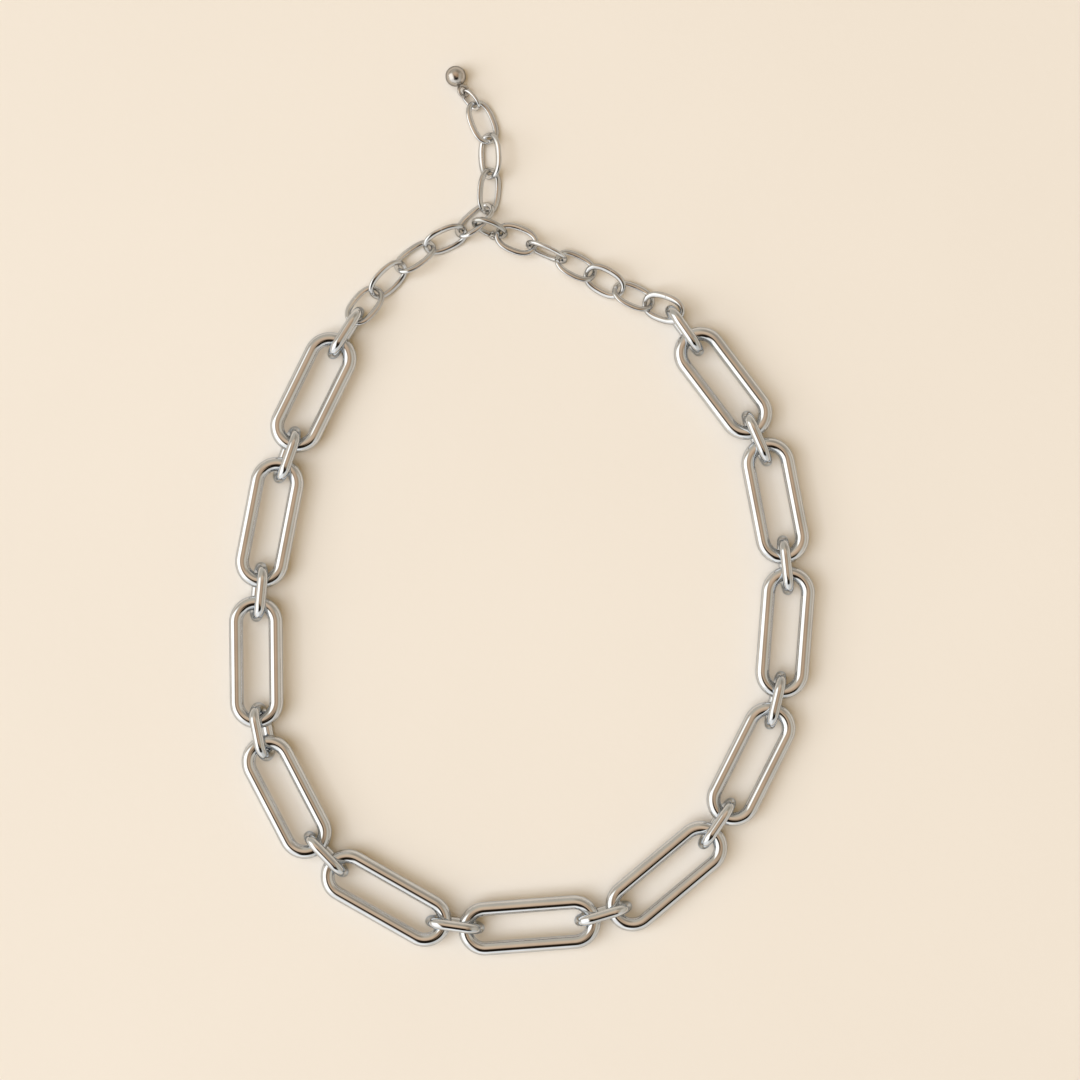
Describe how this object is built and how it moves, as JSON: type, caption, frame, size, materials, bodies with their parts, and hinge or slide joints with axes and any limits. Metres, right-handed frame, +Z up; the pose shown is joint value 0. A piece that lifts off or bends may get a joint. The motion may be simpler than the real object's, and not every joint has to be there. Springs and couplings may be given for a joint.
{
  "type": "chain necklace",
  "caption": "Chain necklace of long paperclip links and upright connector rings, closed at the back by fine oval-link chain, a gated ring clasp and an extender tail ending in a ball",
  "frame": {"origin": "centre of the bounding box in X and Y, with Z = 0 on the surface the necklace lies on", "axes": "+Y from the front link towards the tip of the tail, +X towards the clasp's chain side, +Z up from the surface"},
  "size_m": [0.123, 0.187, 0.0081],
  "materials": {
    "large_link_plating": "polished silver-tone plating",
    "connector_plating": "polished silver-tone plating",
    "fine_chain_plating": "polished silver-tone plating, slightly softer",
    "clasp_plating": "polished silver-tone plating"
  },
  "bodies": {
    "large_link_front": {"large_link_front": "large_link_plating"},
    "connector_left_1": {"connector_left_1": "connector_plating"},
    "large_link_left_1": {"large_link_left_1": "large_link_plating"},
    "connector_left_2": {"connector_left_2": "connector_plating"},
    "large_link_left_2": {"large_link_left_2": "large_link_plating"},
    "connector_left_3": {"connector_left_3": "connector_plating"},
    "large_link_left_3": {"large_link_left_3": "large_link_plating"},
    "connector_left_4": {"connector_left_4": "connector_plating"},
    "large_link_left_4": {"large_link_left_4": "large_link_plating"},
    "connector_left_5": {"connector_left_5": "connector_plating"},
    "large_link_left_5": {"large_link_left_5": "large_link_plating"},
    "connector_left_6": {"connector_left_6": "connector_plating"},
    "extender_link_1": {"extender_link_1": "fine_chain_plating"},
    "extender_link_2": {"extender_link_2": "fine_chain_plating"},
    "extender_link_3": {"extender_link_3": "fine_chain_plating"},
    "extender_link_4": {"extender_link_4": "fine_chain_plating"},
    "extender_link_5": {"extender_link_5": "fine_chain_plating"},
    "extender_link_6": {"extender_link_6": "fine_chain_plating"},
    "extender_link_7": {"extender_link_7": "fine_chain_plating"},
    "extender_link_8": {"extender_link_8": "fine_chain_plating"},
    "connector_right_1": {"connector_right_1": "connector_plating"},
    "large_link_right_1": {"large_link_right_1": "large_link_plating"},
    "connector_right_2": {"connector_right_2": "connector_plating"},
    "large_link_right_2": {"large_link_right_2": "large_link_plating"},
    "connector_right_3": {"connector_right_3": "connector_plating"},
    "large_link_right_3": {"large_link_right_3": "large_link_plating"},
    "connector_right_4": {"connector_right_4": "connector_plating"},
    "large_link_right_4": {"large_link_right_4": "large_link_plating"},
    "connector_right_5": {"connector_right_5": "connector_plating"},
    "large_link_right_5": {"large_link_right_5": "large_link_plating"},
    "connector_right_6": {"connector_right_6": "connector_plating"},
    "chain_link_1": {"chain_link_1": "fine_chain_plating"},
    "chain_link_2": {"chain_link_2": "fine_chain_plating"},
    "chain_link_3": {"chain_link_3": "fine_chain_plating"},
    "chain_link_4": {"chain_link_4": "fine_chain_plating"},
    "chain_link_5": {"chain_link_5": "fine_chain_plating"},
    "chain_link_6": {"chain_link_6": "fine_chain_plating"},
    "clasp_ring": {"clasp_ring": "clasp_plating", "clasp_hinge_pin": "clasp_plating"},
    "clasp_gate": {"clasp_gate": "clasp_plating"},
    "end_ring": {"end_ring": "fine_chain_plating"},
    "end_ball": {"end_ball": "clasp_plating"}
  },
  "joints": [
    {"name": "connector_left_1_fold", "type": "hinge", "parent": "large_link_front", "child": "connector_left_1", "pos_m": [-0.01182, -0.08733, 0.00404], "axis": [0.9972, 0.0742, 0], "range_deg": [-16, 16]},
    {"name": "connector_right_1_fold", "type": "hinge", "parent": "large_link_front", "child": "connector_right_1", "pos_m": [0.01491, -0.08534, 0.00404], "axis": [0.9972, 0.0742, 0], "range_deg": [-16, 16]},
    {"name": "large_link_left_1_fold", "type": "hinge", "parent": "connector_left_1", "child": "large_link_left_1", "pos_m": [-0.01628, -0.08669, 0.00404], "axis": [-0.9973, -0.0737, 0], "range_deg": [-20, 20]},
    {"name": "large_link_right_1_fold", "type": "hinge", "parent": "connector_right_1", "child": "large_link_right_1", "pos_m": [0.01923, -0.08406, 0.00404], "axis": [-0.9973, -0.0737, 0], "range_deg": [-20, 20]},
    {"name": "connector_left_2_fold", "type": "hinge", "parent": "large_link_left_1", "child": "connector_left_2", "pos_m": [-0.03953, -0.07387, 0.00404], "axis": [0.9967, 0.0807, 0], "range_deg": [-28, 28]},
    {"name": "connector_right_2_fold", "type": "hinge", "parent": "large_link_right_1", "child": "connector_right_2", "pos_m": [0.03987, -0.06745, 0.00404], "axis": [0.9967, 0.0807, 0], "range_deg": [-28, 28]},
    {"name": "large_link_left_2_fold", "type": "hinge", "parent": "connector_left_2", "child": "large_link_left_2", "pos_m": [-0.04265, -0.07064, 0.00404], "axis": [-0.9971, -0.0756, 0], "range_deg": [-28, 28]},
    {"name": "large_link_right_2_fold", "type": "hinge", "parent": "connector_right_2", "child": "large_link_right_2", "pos_m": [0.04205, -0.06421, 0.00404], "axis": [-0.9971, -0.0756, 0], "range_deg": [-28, 28]},
    {"name": "connector_left_3_fold", "type": "hinge", "parent": "large_link_left_2", "child": "connector_left_3", "pos_m": [-0.05404, -0.04877, 0.00404], "axis": [0.9979, 0.065, 0], "range_deg": [-60, 24]},
    {"name": "connector_right_3_fold", "type": "hinge", "parent": "large_link_right_2", "child": "connector_right_3", "pos_m": [0.0528, -0.0418, 0.00404], "axis": [0.9979, 0.065, 0], "range_deg": [-60, 24]},
    {"name": "large_link_left_3_fold", "type": "hinge", "parent": "connector_left_3", "child": "large_link_left_3", "pos_m": [-0.05491, -0.04435, 0.00404], "axis": [-0.9983, -0.0574, 0], "range_deg": [-60, 20]},
    {"name": "large_link_right_3_fold", "type": "hinge", "parent": "connector_right_3", "child": "large_link_right_3", "pos_m": [0.05367, -0.0381, 0.00404], "axis": [-0.9983, -0.0574, 0], "range_deg": [-60, 20]},
    {"name": "connector_left_4_fold", "type": "hinge", "parent": "large_link_left_3", "child": "connector_left_4", "pos_m": [-0.05547, -0.01945, 0.00404], "axis": [0.9985, 0.0555, 0], "range_deg": [-70, 20]},
    {"name": "connector_right_4_fold", "type": "hinge", "parent": "large_link_right_3", "child": "connector_right_4", "pos_m": [0.05546, -0.01328, 0.00404], "axis": [0.9985, 0.0555, 0], "range_deg": [-70, 20]},
    {"name": "large_link_left_4_fold", "type": "hinge", "parent": "connector_left_4", "child": "large_link_left_4", "pos_m": [-0.05503, -0.01497, 0.00404], "axis": [-0.9989, -0.046, 0], "range_deg": [-70, 20]},
    {"name": "large_link_right_4_fold", "type": "hinge", "parent": "connector_right_4", "child": "large_link_right_4", "pos_m": [0.05511, -0.0099, 0.00404], "axis": [-0.9989, -0.046, 0], "range_deg": [-70, 20]},
    {"name": "connector_left_5_fold", "type": "hinge", "parent": "large_link_left_4", "child": "connector_left_5", "pos_m": [-0.05007, 0.00947, 0.00404], "axis": [0.9992, 0.0396, 0], "range_deg": [-50, 12]},
    {"name": "connector_right_5_fold", "type": "hinge", "parent": "large_link_right_4", "child": "connector_right_5", "pos_m": [0.05001, 0.01344, 0.00404], "axis": [0.9992, 0.0396, 0], "range_deg": [-50, 12]},
    {"name": "large_link_left_5_fold", "type": "hinge", "parent": "connector_left_5", "child": "large_link_left_5", "pos_m": [-0.0486, 0.01373, 0.00404], "axis": [-0.9996, -0.029, 0], "range_deg": [-45, 12]},
    {"name": "large_link_right_5_fold", "type": "hinge", "parent": "connector_right_5", "child": "large_link_right_5", "pos_m": [0.04864, 0.01655, 0.00404], "axis": [-0.9996, -0.029, 0], "range_deg": [-45, 12]},
    {"name": "connector_left_6_fold", "type": "hinge", "parent": "large_link_left_5", "child": "connector_left_6", "pos_m": [-0.03813, 0.03526, 0.00404], "axis": [0.9999, 0.0137, 0], "range_deg": [-32, 32]},
    {"name": "connector_right_6_fold", "type": "hinge", "parent": "large_link_right_5", "child": "connector_right_6", "pos_m": [0.03511, 0.03626, 0.00404], "axis": [0.9999, 0.0137, 0], "range_deg": [-32, 32]},
    {"name": "extender_link_1_fold", "type": "hinge", "parent": "connector_left_6", "child": "extender_link_1", "pos_m": [-0.03496, 0.04057, 0.00429], "axis": [-0.9999, -0.0137, -0.0009], "range_deg": [-3, 9]},
    {"name": "chain_link_1_fold", "type": "hinge", "parent": "connector_right_6", "child": "chain_link_1", "pos_m": [0.03236, 0.0415, 0.00435], "axis": [-0.9999, -0.0137, -0.0009], "range_deg": [-3, 9]},
    {"name": "extender_link_2_fold", "type": "hinge", "parent": "extender_link_1", "child": "extender_link_2", "pos_m": [-0.03082, 0.04588, 0.00287], "axis": [0.9992, -0.0403, -0.0027], "range_deg": [-16, 10]},
    {"name": "chain_link_2_fold", "type": "hinge", "parent": "chain_link_1", "child": "chain_link_2", "pos_m": [0.0266, 0.04356, 0.00271], "axis": [0.9992, -0.0403, -0.0027], "range_deg": [-16, 10]},
    {"name": "extender_link_3_fold", "type": "hinge", "parent": "extender_link_2", "child": "extender_link_3", "pos_m": [-0.02557, 0.05117, 0.00285], "axis": [-0.9946, 0.1033, -0.0024], "range_deg": [-32, 14]},
    {"name": "chain_link_3_fold", "type": "hinge", "parent": "chain_link_2", "child": "chain_link_3", "pos_m": [0.02035, 0.04641, 0.00296], "axis": [-0.9946, 0.1033, -0.0024], "range_deg": [-32, 14]},
    {"name": "extender_link_4_fold", "type": "hinge", "parent": "extender_link_3", "child": "extender_link_4", "pos_m": [-0.01954, 0.05554, 0.0024], "axis": [0.9996, 0.0081, 0.0285], "range_deg": [-28, 34]},
    {"name": "chain_link_6_fold", "type": "hinge", "parent": "chain_link_5", "child": "chain_link_6", "pos_m": [0.00203, 0.05572, 0.00302], "axis": [0.9996, 0.0081, 0.0285], "range_deg": [-28, 34]},
    {"name": "extender_link_5_fold", "type": "hinge", "parent": "extender_link_4", "child": "extender_link_5", "pos_m": [-0.01265, 0.05842, 0.00252], "axis": [-0.9983, 0.0251, -0.0522], "range_deg": [-34, 20]},
    {"name": "clasp_ring_fold", "type": "hinge", "parent": "chain_link_6", "child": "clasp_ring", "pos_m": [-0.00437, 0.05821, 0.00295], "axis": [-0.9983, 0.0251, -0.0522], "range_deg": [-34, 20]},
    {"name": "chain_link_4_roll", "type": "hinge", "parent": "chain_link_3", "child": "chain_link_4", "pos_m": [0.0144, 0.04982, 0.00284], "axis": [-0.887, 0.4595, 0.0462], "range_deg": [-10, 12]},
    {"name": "chain_link_5_roll", "type": "hinge", "parent": "chain_link_4", "child": "chain_link_5", "pos_m": [0.00831, 0.05297, 0.00316], "axis": [-0.887, 0.4595, 0.0462], "range_deg": [-12, 10]},
    {"name": "extender_link_6_fold", "type": "hinge", "parent": "extender_link_5", "child": "extender_link_6", "pos_m": [-0.007, 0.06336, 0.00227], "axis": [0.8945, -0.4471, 0], "range_deg": [-20, 12]},
    {"name": "extender_link_7_fold", "type": "hinge", "parent": "extender_link_6", "child": "extender_link_7", "pos_m": [-0.0065, 0.07084, 0.00263], "axis": [-0.9998, 0.0192, 0], "range_deg": [-45, 42]},
    {"name": "extender_link_8_fold", "type": "hinge", "parent": "extender_link_7", "child": "extender_link_8", "pos_m": [-0.00686, 0.07828, 0.00227], "axis": [0.9769, 0.2139, 0], "range_deg": [-28, 34]},
    {"name": "end_ring_fold", "type": "hinge", "parent": "extender_link_8", "child": "end_ring", "pos_m": [-0.00964, 0.08532, 0.00197], "axis": [-0.8549, -0.5188, 0], "range_deg": [-34, 16]},
    {"name": "end_ball_fold", "type": "hinge", "parent": "end_ring", "child": "end_ball", "pos_m": [-0.01226, 0.08818, 0.00198], "axis": [0.7547, 0.6561, 0], "range_deg": [-30, 3]},
    {"name": "clasp_gate_swing", "type": "hinge", "parent": "clasp_ring", "child": "clasp_gate", "pos_m": [-0.00599, 0.05792, 0.00164], "axis": [0.2384, 0.8587, -0.4537], "range_deg": [0, 28]}
  ],
  "couplings": [
    {"joint": "connector_right_1_fold", "follows": "connector_left_1_fold", "ratio": 1},
    {"joint": "large_link_right_1_fold", "follows": "large_link_left_1_fold", "ratio": 1},
    {"joint": "connector_right_2_fold", "follows": "connector_left_2_fold", "ratio": 1},
    {"joint": "large_link_right_2_fold", "follows": "large_link_left_2_fold", "ratio": 1},
    {"joint": "connector_right_3_fold", "follows": "connector_left_3_fold", "ratio": 1},
    {"joint": "large_link_right_3_fold", "follows": "large_link_left_3_fold", "ratio": 1},
    {"joint": "connector_right_4_fold", "follows": "connector_left_4_fold", "ratio": 1},
    {"joint": "large_link_right_4_fold", "follows": "large_link_left_4_fold", "ratio": 1},
    {"joint": "connector_right_5_fold", "follows": "connector_left_5_fold", "ratio": 1},
    {"joint": "large_link_right_5_fold", "follows": "large_link_left_5_fold", "ratio": 1},
    {"joint": "connector_right_6_fold", "follows": "connector_left_6_fold", "ratio": 1},
    {"joint": "chain_link_1_fold", "follows": "extender_link_1_fold", "ratio": 1},
    {"joint": "chain_link_2_fold", "follows": "extender_link_2_fold", "ratio": 1},
    {"joint": "chain_link_3_fold", "follows": "extender_link_3_fold", "ratio": 1},
    {"joint": "chain_link_6_fold", "follows": "extender_link_4_fold", "ratio": 1},
    {"joint": "clasp_ring_fold", "follows": "extender_link_5_fold", "ratio": 1},
    {"joint": "chain_link_5_roll", "follows": "chain_link_4_roll", "ratio": -1}
  ]
}
